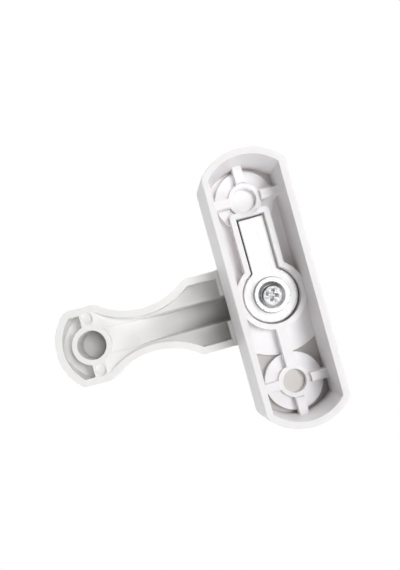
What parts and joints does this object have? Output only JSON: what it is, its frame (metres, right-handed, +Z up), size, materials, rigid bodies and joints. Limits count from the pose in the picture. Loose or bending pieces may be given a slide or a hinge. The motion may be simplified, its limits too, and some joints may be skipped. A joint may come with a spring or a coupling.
{
  "type": "window safety lock",
  "caption": "Surface-fixed window lock: hollow oblong base with screw holes, and a waisted arm that turns on a keyed pivot plate to lie across the sash.",
  "frame": {"origin": "the pivot's axis on the plane of the base's open back, which lies on the window's frame", "axes": "+Y out of the back towards the window's frame, -Y towards the room; +Z up the base's long axis, to the end with the keyed tail; +X along the arm in its locked rest position"},
  "size_m": [0.098, 0.031, 0.0996],
  "materials": {
    "white_base": "satin moulded, white",
    "white_arm": "satin moulded, white",
    "plate_metal": "bright satin",
    "cup_metal": "bright plated",
    "screw_metal": "bright plated",
    "spindle_metal": "turned",
    "nylon": "natural nylon",
    "cover_white": "satin moulded, white",
    "cover_grey": "satin moulded, warm pale grey"
  },
  "bodies": {
    "base": {"base_housing": "white_base", "keyhole_plate": "plate_metal", "friction_washer": "nylon", "screw_cover_upper": "cover_white", "screw_cover_lower": "cover_grey"},
    "arm": {"swing_arm": "white_arm", "pivot_spindle": "spindle_metal", "cup_washer": "cup_metal", "pivot_screw": "screw_metal"}
  },
  "joints": [
    {"name": "arm_swing", "type": "hinge", "parent": "base", "child": "arm", "pos_m": [0, 0, 0], "axis": [0, 1, 0], "range_deg": [0, 180]}
  ]
}
